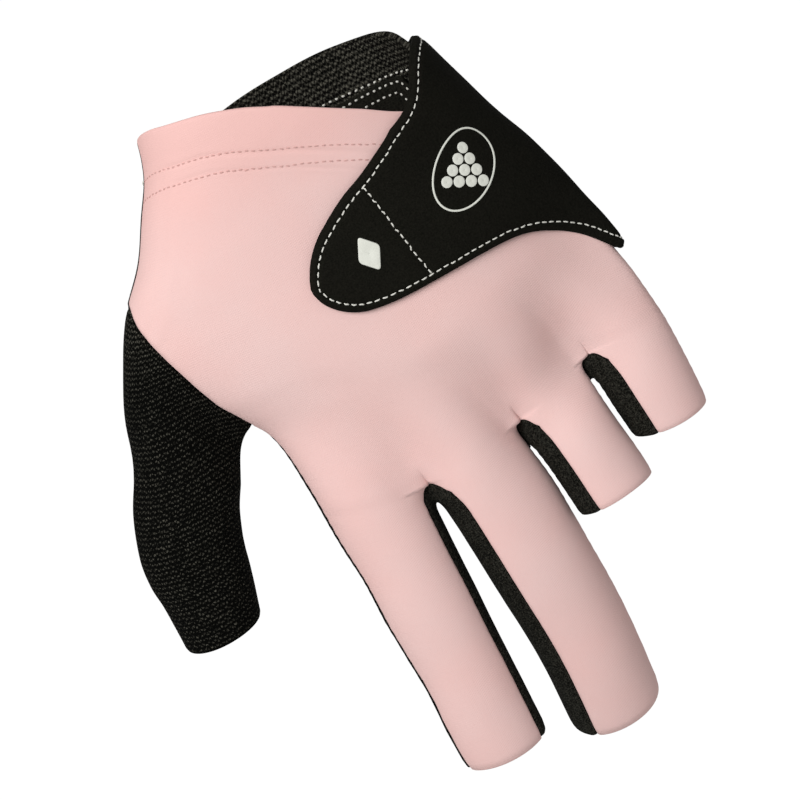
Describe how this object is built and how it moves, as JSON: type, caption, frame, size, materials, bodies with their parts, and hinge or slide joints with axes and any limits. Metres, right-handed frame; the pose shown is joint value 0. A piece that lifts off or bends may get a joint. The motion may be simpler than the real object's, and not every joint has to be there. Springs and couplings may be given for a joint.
{
  "type": "billiard glove",
  "caption": "Open-finger billiard glove for the left hand with a pale knit back, black mesh palm and thumb, and a wrist strap that closes over the back of the hand.",
  "frame": {"origin": "middle of the cuff's mouth, where the hand goes in", "axes": "+Z out of the cuff along the forearm, so the fingers point down; +Y towards the palm, so the back of the hand faces -Y; +X towards the little finger, so the thumb is at -X"},
  "size_m": [0.1278, 0.0424, 0.1728],
  "materials": {
    "knit": "smooth fine knit",
    "mesh": "matt mesh",
    "side_cloth": "matt knit",
    "strap": "matt coated foam"
  },
  "bodies": {
    "root": {"back_panel": "knit", "palm_panel": "mesh", "thumb_sleeve": "mesh", "fourchette_index_middle": "side_cloth", "fourchette_middle_ring": "side_cloth", "fourchette_ring_little": "side_cloth", "wrist_strap": "strap", "cuff_patch": "side_cloth"}
  },
  "joints": []
}
